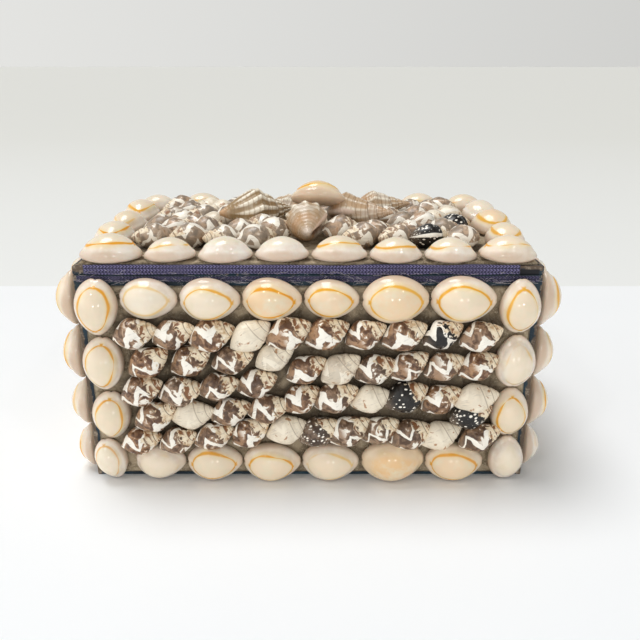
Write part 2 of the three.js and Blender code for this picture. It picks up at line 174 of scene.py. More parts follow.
def aimed(name, lamp, place):
    """Puts a lamp in a place, in metres, looking at the middle of the box."""
    aim = np.array([0.0, 0.0, 0.05]) - np.array(place)
    lamp_object = bpy.data.objects.new(name, lamp)
    lamp_object.location = place
    tilt = math.acos(-aim[2] / np.linalg.norm(aim))
    lamp_object.rotation_euler = (tilt, 0, math.atan2(aim[1], aim[0]) - math.pi / 2)
    bpy.context.collection.objects.link(lamp_object)


def sums(how, first, second=0.0, third=0.0):
    """One Math node: how is its own operation, and at least one of its values is a link."""
    link = next(value for value in (first, second, third) if isinstance(value, bpy.types.NodeSocket))
    return node(link, "Math", {0: first, 1: second, 2: third}, operation=how)[0]


def times(first, second):
    """The product of two values."""
    return sums("MULTIPLY", first, second)


for name, light in LIGHTS.items():
    lamp = bpy.data.lights.new(name, "AREA")
    lamp.energy = light["watts"]
    lamp.size = light["size"]
    aimed(name, lamp, light["place"])
ceiling = bpy.data.lights.new("ceiling", "SUN")
ceiling.energy = CEILING_GLOW
ceiling.angle = math.radians(CEILING_SPREAD)
aimed("ceiling", ceiling, CEILING_PLACE)
world = bpy.data.worlds.new("room")
world.use_nodes = True
towards = node(world, "SeparateXYZ", {0: node(world, "TexCoord")["Generated"]})
low_down = ramp(towards["Z"], 0.1, 0.7, 0.8, 0.22)
leftward = ramp(towards["X"], -1.0, 1.0, 1.32, 0.82)
frontward = ramp(towards["Y"], -0.9, 0.7, 1.4, 0.85)
glow = times(times(low_down, leftward), frontward)
background = world.node_tree.nodes["Background"]
background.inputs["Color"].default_value = linear("FCFCF9")
plug(background, "Strength", glow)
bpy.context.scene.world = world


# The body and the lid are thick card covered in dark teal paper, cut and folded by hand.
# The folded edges are a little round, and the paper is rubbed through to grey-brown card along them.
EDGE_ROUND = 0.5
# Where the painted shadow of the open joint under the lid's corner begins, is full, is still full and ends,
# in millimetres: right of the middle, and above the body's rim
JOINT_SHADOW_ACROSS = (82.3, 83.5, 90.2, 91.4)
JOINT_SHADOW_UP = (-0.5, 0.1, 1.7, 2.6)
JOINT_SHADOW_DEEP = 0.3


def rounded_copy(name, radius):
    """The CAD solid's own mesh with its doubles merged, and a Bevel of the given radius on its edges."""
    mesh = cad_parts[name].data.copy()
    mesh.materials.clear()
    copy = bpy.data.objects.new(name + "_paper", mesh)
    bpy.context.collection.objects.link(copy)
    for kind, values in {
        "WELD": {"merge_threshold": 1e-5},
        "BEVEL": {"width": radius * MM, "segments": 3, "limit_method": "ANGLE"},
    }.items():
        modifier = copy.modifiers.new(kind.lower(), kind)
        for key, value in values.items():
            setattr(modifier, key, value)
    return copy


def smooth(value, low, high):
    """A smooth step from 0, where value is low, to 1, where it is high."""
    return node(value, "MapRange", {0: value, 1: low, 2: high}, interpolation_type="SMOOTHSTEP")[0]


def opposite(share):
    """1 less a share."""
    return sums("SUBTRACT", 1.0, share)


def relief(shader, height, strength, depth):
    """Lays a height on a shader as a bump, with its depth in millimetres."""
    bump = node(height, "Bump", {"Height": height, "Strength": strength, "Distance": depth * MM})
    plug(shader, "Normal", bump[0])


def plateau(value, marks, start):
    """1 between the middle two of four marks, in millimetres past a start, and 0 outside them all."""
    begins, full, still, ends = (start + mark * MM for mark in marks)
    return sums("SUBTRACT", smooth(value, begins, full), smooth(value, still, ends))


# Bookbinder's paper: matt, finely fibrous, darker where it is handled, with chipped edges
paper, paper_shader = material_of("teal_paper", Roughness=0.72)
where = node(paper, "TexCoord")["Object"]
axes = node(paper, "SeparateXYZ", {0: where})
near_x = smooth(sums("ABSOLUTE", axes["X"]), body_high[0] - 3.2 * MM, body_high[0])
near_y = smooth(sums("ABSOLUTE", axes["Y"]), body_high[1] - 3.2 * MM, body_high[1])
near_top = smooth(axes["Z"], body_high[2] - 2.5 * MM, body_high[2] + 3.5 * MM)
corner = times(near_x, near_y)
rubbed = opposite(smooth(axes["Z"], 0.6 * body_high[2], 0.85 * body_high[2]))
corner = times(corner, sums("MULTIPLY_ADD", rubbed, 0.9, 0.75))
rim = times(sums("MAXIMUM", near_x, near_y), near_top)
edge = sums("MAXIMUM", corner, rim)
chips = noise(where, 420.0, 5.0, Roughness=0.65)
worn = smooth(sums("MULTIPLY_ADD", edge, 0.42, chips), 0.72, 0.86)
cloud = noise(where, 60.0, 4.0)
fibre = noise(where, 2600.0, 2.0)
teal = blend(smooth(cloud, 0.35, 0.7), "15242F", "24414F")
teal = blend(smooth(fibre, 0.55, 0.8), teal, "31505C")
card = blend(smooth(chips, 0.5, 0.7), "5E4E3F", "A09280")
# Past the ribbon's right end the open joint under the lid's corner is painted black, a painted shadow
joint_shadow_along = plateau(axes["X"], JOINT_SHADOW_ACROSS, 0.0)
joint_shadow = times(joint_shadow_along, plateau(axes["Z"], JOINT_SHADOW_UP, body_high[2]))
joint_shadow = times(joint_shadow, sums("LESS_THAN", axes["Y"], body_low[1] + JOINT_SHADOW_DEEP * MM))
covering = blend(joint_shadow, blend(worn, teal, card), "0B0B12")
plug(paper_shader, "Base Color", covering)
paper_height = sums("MULTIPLY_ADD", worn, -0.6, fibre)
relief(paper_shader, paper_height, 0.35, 0.15)

for part in ("box_body", "lid_board"):
    piece = rounded_copy(part, EDGE_ROUND)
    piece.data.materials.append(paper)
    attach(piece, "root")
    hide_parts(part)


# The putty bed on each covered face is a thin grey-tan coat, pressed on with a finger before the shells.
# It is uneven, dull and sandy, and painted dark round the dove shells as painted shade in the gaps.
BED = 1.2
BED_MARGIN = 1.5
BED_CELL = 1.3
RIBBON_DROP = 3.0
lid_low, lid_high = (np.array(corner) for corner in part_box("lid_board"))
WIDTH, DEPTH = ((body_high - body_low) / MM)[:2]
HEIGHT = body_high[2] / MM
X, Y, Z = np.eye(3)
# Each face: its middle, the way its u and v run, and its size along them
FACES = {
    "front": ((0, -DEPTH / 2, HEIGHT / 2), X, Z, WIDTH, HEIGHT),
    "back": ((0, DEPTH / 2, HEIGHT / 2), -X, Z, WIDTH, HEIGHT),
    "left": ((-WIDTH / 2, 0, HEIGHT / 2), -Y, Z, DEPTH, HEIGHT),
    "right": ((WIDTH / 2, 0, HEIGHT / 2), Y, Z, DEPTH, HEIGHT),
    "lid": ((0, 0, lid_high[2] / MM), X, Y, WIDTH, DEPTH),
}


def on_face(face, points):
    """Points given as u, v and height above a face, in millimetres, as places in metres."""
    middle, right, up, _, _ = FACES[face]
    basis = np.stack([right, up, np.cross(right, up)])
    return (np.asarray(middle) + points @ basis) * MM


def unevenness(u, v, cell, seed):
    """Smooth random heights from -1 to 1: a lattice of random values, a cell apart, eased in between."""
    lattice = np.random.default_rng(seed).uniform(-1, 1, (256, 256))
    column, row = u / cell + 100, v / cell + 100
    i, j = np.floor(column).astype(int), np.floor(row).astype(int)
    s, t = column - i, row - j
    s, t = s * s * (3 - 2 * s), t * t * (3 - 2 * t)
    i, j = i % 255, j % 255
    near = lattice[i, j] * (1 - s) + lattice[i + 1, j] * s
    far = lattice[i, j + 1] * (1 - s) + lattice[i + 1, j + 1] * s
    return near * (1 - t) + far * t


def finish_piece(name, mesh, material, slot, *replaced):
    """Puts a mesh in the scene as a smooth piece of the box, for the CAD nodes that it stands for."""
    mesh.polygons.foreach_set("use_smooth", np.ones(len(mesh.polygons), bool))
    mesh.materials.append(material)
    piece = bpy.data.objects.new(name, mesh)
    bpy.context.collection.objects.link(piece)
    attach(piece, "root")
    if replaced:
        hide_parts(*replaced)


def bed_mesh(name, face, low_u, high_u, low_v, high_v, seed):
    """A grid over a rectangle of a face. Its height is the coat's thickness plus three scales of unevenness,
    eased down to the face along its rim, and one flat face closes it underneath."""
    columns = int((high_u - low_u) / BED_CELL)
    rows = int((high_v - low_v) / BED_CELL)
    u, v = np.meshgrid(np.linspace(low_u, high_u, columns), np.linspace(low_v, high_v, rows))
    rim = np.minimum.reduce([u - low_u, high_u - u, v - low_v, high_v - v])
    height = BED + 0.35 * unevenness(u, v, 9, seed) + 0.3 * unevenness(u, v, 3.4, seed + 1)
    height += 0.16 * unevenness(u, v, 1.4, seed + 2)
    height *= np.clip(rim / 1.6, 0, 1) ** 0.5
    points = on_face(face, np.stack([u, v, np.maximum(height, 0.02)], -1).reshape(-1, 3))
    corner = np.arange(rows * columns).reshape(rows, columns)
    quads = np.stack([corner[:-1, :-1], corner[:-1, 1:], corner[1:, 1:], corner[1:, :-1]], -1)
    border = [corner[:-1, 0], corner[-1, :-1], corner[:0:-1, -1], corner[0, :0:-1]]
    mesh = bpy.data.meshes.new(name)
    mesh.from_pydata(points, [], quads.reshape(-1, 4).tolist() + [np.concatenate(border).tolist()])
    return mesh


# Linseed putty with sand in it: dull, grey-tan, darker in its hollows, smeared along the face
putty, putty_shader = material_of("sandy_putty", Roughness=0.9)
where = node(putty, "TexCoord")["Object"]
smear = noise(where, 150.0, 5.0, Distortion=1.4)
grain = noise(where, 1500.0, 3.0)
tan = blend(smooth(smear, 0.35, 0.65), "74654F", "AD9C82")
tan = blend(smooth(grain, 0.5, 0.75), tan, "BCAE96")
# Painted shade: the bed is painted dark near the dove shells, in the gaps between them
contact_shade = times(node(putty, "Attribute", attribute_name="contact_shade")["Fac"], 0.62)
tan = blend(contact_shade, tan, "33271C")
plug(putty_shader, "Base Color", tan)
putty_height = sums("MULTIPLY_ADD", smear, 2.0, grain)
relief(putty_shader, putty_height, 0.6, 0.35)

for seed, (face, (_, _, _, face_width, face_height)) in enumerate(FACES.items()):
    half_u = face_width / 2 - (BED_MARGIN if face == "lid" else 2 * BED_MARGIN)
    half_v = face_height / 2 - BED_MARGIN
    top_v = half_v - RIBBON_DROP if face == "front" else half_v
    bed = bed_mesh(face + "_putty", face, -half_u, half_u, -half_v, top_v, 10 * seed)
    finish_piece(face + "_putty", bed, putty, "dove")


# A purple braided ribbon is glued along the lid's front edge, and a second one on the body right below it.
# It is a matt cotton band, slightly wavy, with lint along its lower edge.
RIBBON_WAVE = 0.26
BRAID_PITCH = 1.3
BRAID_ROW = 1.5


def closed_faces(rows, columns):
    """The faces of a grid that closes on itself along its columns, with a pole after each end row. Vertex
    r * columns + c is on row r, and the poles come last. Each corner's unwrapped column and row, as shares of
    the whole, go with it."""
    r, c = np.meshgrid(np.arange(rows - 1), np.arange(columns), indexing="ij")
    corners = [(r, c), (r, c + 1), (r + 1, c + 1), (r + 1, c)]
    quads = np.stack([row * columns + column % columns for row, column in corners], -1).reshape(-1, 4)
    quad_places = np.stack([np.stack([column, row], -1) for row, column in corners], 2).reshape(-1, 2)
    c = np.arange(columns)
    first, last = rows * columns, rows * columns + 1
    start = np.stack([np.full(columns, first), (c + 1) % columns, c], -1)
    base = (rows - 1) * columns
    end = np.stack([np.full(columns, last), base + c, base + (c + 1) % columns], -1)
    zero, top = np.zeros(columns), np.full(columns, rows - 1)
    start_places = np.stack([np.stack([column, zero], -1) for column in (c + 0.5, c + 1, c)], 1)
    end_places = np.stack([np.stack([column, top], -1) for column in (c + 0.5, c, c + 1)], 1)
    places = np.concatenate([quad_places, start_places.reshape(-1, 2), end_places.reshape(-1, 2)])
    return quads, np.concatenate([start, end]), places / [columns, rows - 1]


def with_poles(grid, width):
    """A grid's points, or numbers, as a list that ends with the mean of its first row and of its last."""
    return np.concatenate([grid.reshape(-1, width), grid[0].mean(0)[None], grid[-1].mean(0)[None]])


def skin_mesh(name, grids, looks=None, plans=None, paints=None):
    """One mesh of several closed skins. Each grid of points is rows by columns by 3, and its end rows close
    on their own middle. The UV map is each corner's place round and along its skin, or the grid's own plan
    where plans are given. looks are four numbers that a whole skin carries for its material, and paints four
    for each point of a grid."""
    vertices, faces, uvs, carried, painted, count = [], [], [], [], [], 0
    for index, grid in enumerate(grids):
        rows, columns = grid.shape[:2]
        quads, triangles, places = closed_faces(rows, columns)
        faces += (quads + count).tolist() + (triangles + count).tolist()
        vertices.append(with_poles(grid, 3))
        if plans is not None:
            uvs.append(with_poles(plans[index], 2)[np.concatenate([quads.ravel(), triangles.ravel()])])
        else:
            uvs.append(places)
        if looks is not None:
            carried.append(np.tile(looks[index], (len(vertices[-1]), 1)))
        if paints is not None:
            painted.append(with_poles(paints[index], 4))
        count += len(vertices[-1])
    mesh = bpy.data.meshes.new(name)
    mesh.from_pydata(np.concatenate(vertices), [], faces)
    mesh.uv_layers.new(name="wrap").uv.foreach_set("vector", np.concatenate(uvs).astype("f").ravel())
    for attribute, numbers in {"look": carried, "paint": painted}.items():
        if numbers:
            layer = mesh.color_attributes.new(attribute, "FLOAT_COLOR", "POINT")
            layer.data.foreach_set("color", np.concatenate(numbers).astype("f").ravel())
    return mesh


def eased(wave):
    """The square root of a wave's size, with its sign, which squares off its tops."""
    return np.sign(wave) * np.abs(wave) ** 0.5


def ribbon_grid(low, high, seed):
    """A rounded rectangle carried along the ribbon's length between two corners in metres. Its front and its
    edges wave a little, by the unevenness of a line, and both ends are pinched."""
    low, high = np.array(low), np.array(high)
    around = np.linspace(0, 2 * np.pi, 28, endpoint=False)
    along = np.linspace(low[0] + 0.0002, high[0] - 0.0002, 260)
    line = along / MM
    bulge = 0.82 + 0.18 * unevenness(line, 0 * line, 7, seed)[:, None]
    narrow = 1 - RIBBON_WAVE * (0.5 + 0.5 * unevenness(line, 0 * line, 13, seed + 1))[:, None]
    sway = unevenness(line, 0 * line, 10, seed + 2)[:, None]
    drop = RIBBON_WAVE * 0.5 * (high[2] - low[2]) * sway * (1 - narrow)
    front = eased(np.cos(around)) * np.where(np.cos(around) > 0, bulge, 1)
    y = (low[1] + high[1]) / 2 - front * (high[1] - low[1]) / 2
    z = (low[2] + high[2]) / 2 - eased(np.sin(around)) * narrow * (high[2] - low[2]) / 2 + drop
    return np.stack(np.broadcast_arrays(along[:, None], y, z), -1)


# Braided cotton: matt, with rows of chevrons that catch the light, painted lighter as a painted highlight,
# dusty, with pale lint
braid, braid_shader = material_of("purple_braid", Roughness=0.85, Sheen_Weight=0.25, Sheen_Roughness=0.5)
where = node(braid, "TexCoord")["Object"]
axes = node(braid, "SeparateXYZ", {0: where})
row = sums("PINGPONG", sums("DIVIDE", axes["Z"], BRAID_ROW * MM), 0.5)
strand = sums("MULTIPLY_ADD", row, 1.6, sums("DIVIDE", axes["X"], BRAID_PITCH * MM))
loose = noise(where, 300.0, 2.0)
strand = sums("MULTIPLY_ADD", loose, 0.4, strand)
ribs = sums("PINGPONG", strand, 0.5)
raised = times(ribs, opposite(smooth(row, 0.3, 0.5)))
lint = noise(where, 900.0, 5.0, Roughness=0.7)
fade = noise(where, 130.0, 2.0)
# Raised strands painted lighter, hollows near-black: partly the thread's own tones, partly painted highlight
# and shade
purple = blend(smooth(raised, 0.14, 0.34), "1D1A36", "736D98")
# The body's ribbon, below the lid's edge, is painted darker: partly its own navy, partly painted shade under
# the lid
below_lid = opposite(smooth(axes["Z"], lid_low[2] - 0.6 * MM, lid_low[2] + 0.4 * MM))
purple = blend(times(below_lid, 0.72), purple, "1E1D35")
purple = blend(times(smooth(fade, 0.45, 0.7), 0.5), purple, "4A4560")
purple = blend(times(smooth(lint, 0.6, 0.76), 0.6), purple, "A29CA0")
plug(braid_shader, "Base Color", purple)
braid_height = sums("MULTIPLY_ADD", lint, 0.5, raised)
relief(braid_shader, braid_height, 0.8, 0.25)

# The lid's ribbon rises a little over the edge of the board
for part, rise in {"lid_ribbon": 0.9, "body_ribbon": 0.0}.items():
    ribbon_low, ribbon_high = (np.array(corner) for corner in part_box(part))
    ribbon_high[2] += rise * MM
    band = skin_mesh(part + "_braid", [ribbon_grid(ribbon_low, ribbon_high, len(part))])
    finish_piece(part + "_braid", band, braid, "ribbon", part)


def lint_mesh(name, count, low, high, seed):
    """Fibres scattered over a box's front, in metres. Each is a flat strip of three quads, bowed along a
    parabola from its root, a little forward, any way round in the box's plane."""
    pick = np.random.default_rng(seed)
    root = pick.uniform(low, high, (count, 3))
    heading = pick.uniform(0, 2 * np.pi, count)
    length, bow = pick.uniform(1.2, 4.0, count) * MM, pick.uniform(-0.5, 0.5, count)
    t = np.linspace(0, 1, 4)[None, :]
    ahead, aside = length[:, None] * t, (length * bow)[:, None] * t * (1 - t) * 2
    x = root[:, :1] + ahead * np.cos(heading)[:, None] - aside * np.sin(heading)[:, None]
    z = root[:, 2:] + (ahead * np.sin(heading)[:, None] + aside * np.cos(heading)[:, None]) * 0.45
    y = root[:, 1:2] - 0.25 * length[:, None] * t * (1 - 0.6 * t)
    spine = np.stack([x, y, z], -1)
    width = pick.uniform(0.03, 0.06, count)[:, None, None] * MM * np.array([0, 0, 1])
    points = np.stack([spine - width, spine + width], 2).reshape(-1, 3)
    first = (np.arange(count)[:, None] * 8 + np.arange(3)[None, :] * 2).reshape(-1, 1)
    mesh = bpy.data.meshes.new(name)
    mesh.from_pydata(points, [], (first + [0, 2, 3, 1]).tolist())
    return mesh


# Lint: loose cotton fibres, grey-lilac and quite matt
lint_fibre, _ = material_of("cotton_lint", Base_Color=linear("B5AEB4"), Roughness=0.9)
for part, fibres in {"lid_ribbon": 90, "body_ribbon": 260}.items():
    ribbon_low, ribbon_high = (np.array(corner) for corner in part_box(part))
    edge_low = ribbon_low + [1 * MM, -0.05 * MM, -0.4 * MM]
    edge_high = [ribbon_high[0] - 1 * MM, ribbon_low[1] + 0.1 * MM, ribbon_low[2] + 1.2 * MM]
    fluff = lint_mesh(part + "_lint", fibres, edge_low, edge_high, fibres)
    finish_piece(part + "_lint", fluff, lint_fibre, "ribbon")


# Ring cowries border every face, end to end: columns of four up the sides and rows between them, eight
# along the lid's front and back. Each is a real shell, set flat side down in the putty. They carry the
# yellow or orange ring of their kind, some of it worn away.
COWRIE_LENGTH = 24.0
COWRIE_WIDTH = 0.69
COWRIE_HEIGHT = 0.44
COWRIE_INSET = 9.0
TIP_GAP = 0.35
SEAM_GAP = 0.3
COWRIE_ROWS = 30
COWRIE_COLUMNS = 48


def chance(index, purpose):
    """A repeatable number from 0 to 1: the fraction left of a large multiple of a sine of both numbers."""
    turned = math.sin(index * 12.9898 + purpose * 78.233) * 43758.5453
    return turned - math.floor(turned)


def cowrie_run(start, end, sizes, lean=(0,), shift=(0,)):
    """Cowries end to end from one point of a face to another: as many as fit, with their relative lengths in
    turn. Each is its u, v, turn in degrees and length."""
    run = np.array(end, float) - start
    span, heading = np.hypot(*run), math.atan2(run[1], run[0])
    count = max(1, round(span / COWRIE_LENGTH))
    lengths = np.array([sizes[i % len(sizes)] for i in range(count)])
    lengths *= span / lengths.sum()
    middles = np.cumsum(lengths) - lengths / 2
    places = []
    for i, (length, middle) in enumerate(zip(lengths, middles)):
        aside = shift[i % len(shift)]
        u = start[0] + middle * math.cos(heading) - aside * math.sin(heading)
        v = start[1] + middle * math.sin(heading) + aside * math.cos(heading)
        places.append((u, v, math.degrees(heading) + lean[i % len(lean)], length - TIP_GAP))
    return places


def face_border(face, left, right, top, bottom):
    """The cowries round a face of the body: two upright columns and the two rows between them."""
    _, _, _, face_width, face_height = FACES[face]
    column, inner = face_width / 2 - COWRIE_INSET, face_width / 2 - 2 * COWRIE_INSET
    row, end = face_height / 2 - COWRIE_INSET, face_height / 2 - SEAM_GAP
    return {
        "left": cowrie_run((-column, end), (-column, -end), **left),
        "right": cowrie_run((column, end), (column, -end), **right),
        "top": cowrie_run((-inner, row), (inner, row), **top),
        "bottom": cowrie_run((-inner, -row), (inner, -row), **bottom),
    }


def cowrie_grid(length, kind):
    """A ring cowrie, along X, base on Z = 0. Rows go from the top of the dome over the margin to the middle
    of the base, and columns go round. The plan is an egg, a little pointed, with a notch at each tip. The
    dome's profile is round across the shell and peaked along it, down to a shallow groove inside the swollen
    margin, and the base is nearly flat. kind varies the egg, the groove and the dome's lean. Returns the
    points and their plan, as shares of the shell's length and width."""
    angle = np.linspace(0, -2 * np.pi, COWRIE_COLUMNS, endpoint=False)[None, :]
    polar = (np.linspace(0.03, 0.985, COWRIE_ROWS)[:, None] ** 1.2) * np.pi
    low = np.clip(0.75 - np.cos(polar), 0, 1)
    tip = 0.5 * np.exp(-((np.sin(angle / 2) / 0.07) ** 2)) + np.exp(-((np.cos(angle / 2) / 0.07) ** 2))
    reach = np.sin(polar) ** 0.94
    out = reach * (1 - 0.09 * tip * low)
    x = np.cos(angle) * out
    egg = 1 - (0.07 + 0.08 * chance(kind, 11)) * x
    y = np.sign(np.sin(angle)) * np.abs(np.sin(angle)) ** 1.2 * out * egg * 1.04
    height = length * COWRIE_HEIGHT
    margin = (0.25 + 0.05 * chance(kind, 17)) * height
    endwise = np.cos(angle) ** 2
    profile = (1 - reach**2) ** (0.54 + 0.3 * endwise)
    groove = (0.04 + 0.05 * chance(kind, 16)) * np.exp(-(((reach - 0.84) / 0.07) ** 2))
    fall = margin * (1 - np.clip(-np.cos(polar), 0, 1) ** 0.75)
    z = np.where(np.cos(polar) > 0, margin + (height - margin) * (profile - groove), fall)
    lean = (chance(kind, 12) - 0.5) * 0.1 * height * np.clip(np.cos(polar), 0, 1)
    half_length, half_width = length * 0.505, length * COWRIE_WIDTH / 2
    points = np.stack(np.broadcast_arrays(x * half_length, y * half_width + lean, z), -1)
    past_rim = np.where(np.cos(polar) > 0, 1, 2.2 / np.maximum(reach, 0.1) - 1.2)
    plan = np.stack(np.broadcast_arrays(0.5 + 0.5 * x * past_rim, 0.5 + 0.5 * y * past_rim), -1)
    return points, plan


def laid(points, face, u, v, turn, above, roll=0.0, pitch=0.0):
    """A shell's points rolled about its length and pitched about its width, turned on its face, set there and
    lifted so that its lowest point is the given height above the face. Angles are in degrees."""
    roll, pitch, turn = math.radians(roll), math.radians(pitch), math.radians(turn)
    cos, sin = math.cos, math.sin
    about_x = np.array([[1, 0, 0], [0, cos(roll), sin(roll)], [0, -sin(roll), cos(roll)]])
    about_y = np.array([[cos(pitch), 0, sin(pitch)], [0, 1, 0], [-sin(pitch), 0, cos(pitch)]])
    about_z = np.array([[cos(turn), sin(turn), 0], [-sin(turn), cos(turn), 0], [0, 0, 1]])
    points = points @ about_x @ about_y @ about_z
    return on_face(face, points + [u, v, above - points[..., 2].min()])


# Cowrie enamel: polished like glazed porcelain, with a cream dome inside a golden ring and a pinkish margin
milky = {"Subsurface_Weight": 0.1, "Subsurface_Scale": 0.0015}
enamel, enamel_shader = material_of("cowrie_enamel", IOR=1.53, **milky)
centred = {0: node(enamel, "UVMap")[0], 1: (2, 2, 0), 2: (-1, -1, 0)}
plan = node(enamel, "VectorMath", centred, operation="MULTIPLY_ADD")[0]
look = node(enamel, "Attribute", attribute_name="look")
ring_share, ring_hue, warmth = node(enamel, "SeparateColor", {0: look["Color"]})
seed = times(look["Alpha"], 40.0)
wander = noise(plan, 0.9, 1.5, seed)
thick = noise(plan, 1.3, 0.0, seed)
plan_x, plan_y, _ = node(enamel, "SeparateXYZ", {0: plan})
# The ring is an almond: two arcs that meet in a point short of the narrow end
ring_x = sums("DIVIDE", sums("ADD", plan_x, 0.02), 0.75)
ring_room = sums("MAXIMUM", opposite(times(ring_x, ring_x)), 0.0)
taper = sums("MULTIPLY_ADD", ring_x, -0.12, 0.72)
ring_y = times(sums("POWER", ring_room, 0.62), taper)
off_arc = sums("SUBTRACT", sums("ABSOLUTE", plan_y), ring_y)
past_tip = times(sums("SUBTRACT", sums("ABSOLUTE", ring_x), 1.0), 1.1)
out = sums("MAXIMUM", times(off_arc, 0.75), past_tip)
out = sums("MULTIPLY_ADD", sums("SUBTRACT", wander, 0.5), 0.2, out)
off_ring = sums("ABSOLUTE", out)
at_tip = smooth(sums("ABSOLUTE", ring_x), 0.72, 1.0)
ring_width = ramp(thick, 0.38, 0.62, 0.012, 0.05)
ring_width = sums("MULTIPLY_ADD", at_tip, 0.035, ring_width)
ring_line = opposite(smooth(sums("DIVIDE", off_ring, ring_width), 0.4, 1.4))
ring_kept = smooth(sums("MULTIPLY_ADD", ring_share, 0.34, thick), 0.5, 0.74)
ring_mask = times(times(ring_line, ring_kept), ring_share)
halo = opposite(smooth(off_ring, 0.01, 0.15))
halo = times(times(halo, ring_share), times(ring_kept, 0.5))
inside = opposite(smooth(out, -0.2, 0.1))
where = node(enamel, "TexCoord")["Object"]
cloud = noise(where, 160.0, 4.0, Roughness=0.6)
margin_tone = blend(smooth(cloud, 0.35, 0.68), "F4ECE1", "E8D9C8")
dome_tone = blend(warmth, "F1E6D2", "ECC28C")
dome_tone = blend(smooth(cloud, 0.4, 0.75), dome_tone, "E9DCC0")
margin_tone = blend(times(warmth, 0.6), margin_tone, "E7C694")
tone = blend(times(inside, 0.85), margin_tone, dome_tone)
tone = blend(halo, tone, "F3D679")
# The flank round the margin's edge is painted darker tan: partly the shell's colour, partly painted shade
flank_and_shade = smooth(node(enamel, "VectorMath", {0: plan}, operation="LENGTH")["Value"], 0.86, 1.04)
tone = blend(times(flank_and_shade, 0.75), tone, "CDB299")
ring_colour = blend(ring_hue, "EDC24A", "E59318")
plug(enamel_shader, "Base Color", blend(ring_mask, tone, ring_colour))
scuffs = noise(where, 700.0, 6.0, Roughness=0.7)
gloss = ramp(scuffs, 0.4, 0.75, 0.09, 0.3)
plug(enamel_shader, "Roughness", gloss)
relief(enamel_shader, cloud, 0.12, 0.3)


def cowrie_piece(name, face, places, looks, replaced, above=BED - 0.8, lean=0.0):
    """One piece of the cowries at some places of a face. looks are ring strength, ring hue and warmth."""
    grids, plans, carried = [], [], []
    for index, (u, v, turn, length) in enumerate(places):
        kind = round(7 * u + 13 * v)
        points, plan = cowrie_grid(length, kind)
        roll, pitch = lean + 7 * (chance(kind, 13) - 0.5), 5 * (chance(kind, 14) - 0.5)
        grids.append(laid(points, face, u, v, turn, above, roll, pitch))
        plans.append(plan)
        carried.append((*looks[index % len(looks)], chance(kind, 15)))
    finish_piece(name, skin_mesh(name, grids, carried, plans), enamel, "cowrie", replaced)


FRONT_BORDER = {
    "left": {"sizes": (1, 0.985, 0.94, 0.8), "lean": (-4, -4, -4, 14), "shift": (0, 0.5, 1.2, -0.8)},
    "right": {"sizes": (0.96, 0.97, 0.925, 0.865), "lean": (182, 180, 180, 180), "shift": (0, 0, 0, 0.4)},
    "top": {"sizes": (0.98, 1.03, 1.01, 0.94, 1.13, 1.11)},
    "bottom": {"sizes": (0.935, 1.02, 1.055, 1.055, 1.16, 1.065), "shift": (0, 0, 0.1, 0.1, 1.1, 0.2)},
}
FRONT_LOOKS = {
    "left": ((0.95, 0.75, 0.3), (0.9, 0.7, 0.25), (0.9, 0.7, 0.3), (0.6, 0.8, 0.1)),
    "right": ((0.95, 0.6, 0.35), (0.4, 0.3, 0.2), (0.95, 0.7, 0.35), (0.0, 0.0, 0.15)),
    "top": (
        (0.45, 0.2, 0.1), (0.9, 0.6, 0.2), (1.0, 0.8, 0.75),
        (1.0, 0.6, 0.6), (0.9, 0.5, 0.7), (1.0, 0.6, 0.35),
    ),
    "bottom": (
        (0.2, 0.1, 0.2), (0.9, 0.7, 0.35), (0.95, 0.7, 0.4),
        (0.5, 0.2, 0.35), (0.1, 0.1, 1.0), (0.9, 0.8, 0.6),
    ),
}
for side, run in face_border("front", **FRONT_BORDER).items():
    for index, place in enumerate(run):
        part = f"front_{side}_cowrie_{index + 1}"
        cowrie_piece(part + "_shell", "front", [place], [FRONT_LOOKS[side][index]], part)

HIDDEN_BORDER = {
    "left": {"sizes": (1, 0.94, 0.97, 0.83)},
    "right": {"sizes": (0.975, 1, 0.9, 0.86), "lean": (180,)},
    "top": {"sizes": (1.04, 0.98, 1.09)},
    "bottom": {"sizes": (1.02, 1.08, 1.04), "shift": (0.4,)},
}
HIDDEN_LOOKS = ((0.9, 0.6, 0.3), (0.5, 0.4, 0.4), (1.0, 0.8, 0.2), (0.2, 0.2, 0.1), (0.9, 0.5, 0.6))
for face in ("back", "left", "right"):
    places = [place for run in face_border(face, **HIDDEN_BORDER).values() for place in run]
    cowrie_piece(face + "_border_shells", face, places, HIDDEN_LOOKS, face + "_cowrie_border")

lid_column, lid_row = WIDTH / 2 - COWRIE_INSET, DEPTH / 2 - COWRIE_INSET
# The lid's front cowries stand this much nearer to its edge, over the ribbon
LID_FORWARD = 2.6
lid_end, lid_column_end = WIDTH / 2 - BED_MARGIN, DEPTH / 2 - 2 * COWRIE_INSET
LID_FRONT_LOOKS = (
    (1.0, 0.75, 0.2), (0.7, 0.5, 0.15), (0.0, 0.0, 0.0), (0.1, 0.1, 0.05),
    (0.95, 0.6, 0.25), (0.9, 0.7, 0.2), (0.8, 0.7, 0.1), (0.95, 0.7, 0.3),
)
lid_front_sizes = (1.115, 0.945, 0.99, 0.98, 1.015, 0.955, 0.95, 1.04)
lid_front_row = -lid_row - LID_FORWARD
lid_front = cowrie_run((-lid_end, lid_front_row), (lid_end, lid_front_row), lid_front_sizes)
for index, place in enumerate(lid_front):
    part = f"lid_front_cowrie_{index + 1}"
    cowrie_piece(part + "_shell", "lid", [place], [LID_FRONT_LOOKS[index]], part)
lid_rest = []
for column, sizes, leans in (
    (-lid_column, (1.05, 0.98, 1.02), (6, -8, 4)),
    (lid_column, (1.02, 1.06, 0.97), (176, 186, 180)),
):
    lid_rest += cowrie_run((column, lid_column_end), (column, -lid_column_end), sizes, leans)
lid_back_sizes = (1, 1.05, 0.97, 1.03, 0.95, 0.99, 1.06, 0.98)
